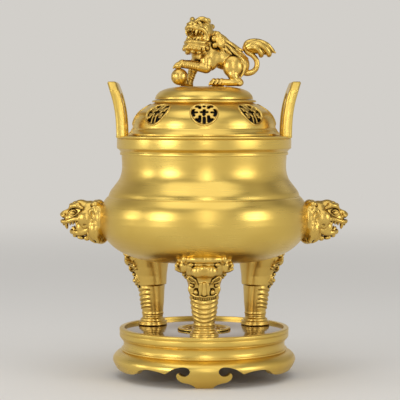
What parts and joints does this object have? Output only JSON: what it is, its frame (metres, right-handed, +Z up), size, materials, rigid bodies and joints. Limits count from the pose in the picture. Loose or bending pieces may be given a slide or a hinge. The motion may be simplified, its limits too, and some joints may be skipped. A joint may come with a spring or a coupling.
{
  "type": "altar incense burner",
  "caption": "Lidded round-bellied brass incense burner on mask-faced legs, with loop handles, lion heads, a pierced lid with a guardian lion, and a round scroll-footed stand.",
  "frame": {"origin": "on the table under the middle of the stand", "axes": "+Z up along the turned axis; -Y to the front leg and the viewer; +X to the viewer's right, where the lion's tail points"},
  "size_m": [0.313, 0.2256, 0.388],
  "materials": {
    "brushed_brass": "polished and finely spun, with fine horizontal turning lines",
    "cast_brass": "cast and polished, darker brown in the recesses",
    "mirror_brass": "mirror-polished, dark brown-gold",
    "steel_fasteners": "plain bright steel"
  },
  "bodies": {
    "stand": {"stand_frame": "brushed_brass", "stand_plate": "mirror_brass", "medallion_ring": "brushed_brass", "medallion_grille": "cast_brass", "plate_screw_1": "steel_fasteners", "plate_screw_2": "steel_fasteners", "plate_screw_3": "steel_fasteners"},
    "pot": {"leg_bolt_front": "steel_fasteners", "leg_bolt_rear_right": "steel_fasteners", "leg_bolt_rear_left": "steel_fasteners", "leg_washer_front": "steel_fasteners", "leg_washer_rear_right": "steel_fasteners", "leg_washer_rear_left": "steel_fasteners", "head_bolt_right": "steel_fasteners", "head_bolt_left": "steel_fasteners", "head_washer_right": "steel_fasteners", "head_washer_left": "steel_fasteners", "handle_pin_right_front": "steel_fasteners", "handle_pin_right_rear": "steel_fasteners", "handle_pin_left_front": "steel_fasteners", "handle_pin_left_rear": "steel_fasteners", "pot_bowl": "brushed_brass", "mouth_band": "brushed_brass", "handle_right": "brushed_brass", "handle_left": "brushed_brass", "leg_front": "cast_brass", "leg_rear_right": "cast_brass", "leg_rear_left": "cast_brass", "lion_head_right": "cast_brass", "lion_head_left": "cast_brass"},
    "lid": {"lid_dome": "brushed_brass", "lid_cap": "brushed_brass", "roundel_1": "cast_brass", "roundel_2": "cast_brass", "roundel_3": "cast_brass", "roundel_4": "cast_brass", "roundel_5": "cast_brass", "roundel_6": "cast_brass", "roundel_7": "cast_brass", "roundel_8": "cast_brass", "lion_finial": "cast_brass", "lion_tail": "cast_brass", "lion_ball": "cast_brass", "finial_bolt_hind": "steel_fasteners", "finial_bolt_fore": "steel_fasteners", "finial_washer_hind": "steel_fasteners", "finial_washer_fore": "steel_fasteners"}
  },
  "joints": [
    {"name": "pot_lift", "type": "slide", "parent": "stand", "child": "pot", "axis": [0, 0, 1], "range_m": [0, 0.06]},
    {"name": "lid_lift", "type": "slide", "parent": "pot", "child": "lid", "axis": [0, 0, 1], "range_m": [0, 0.1]}
  ]
}
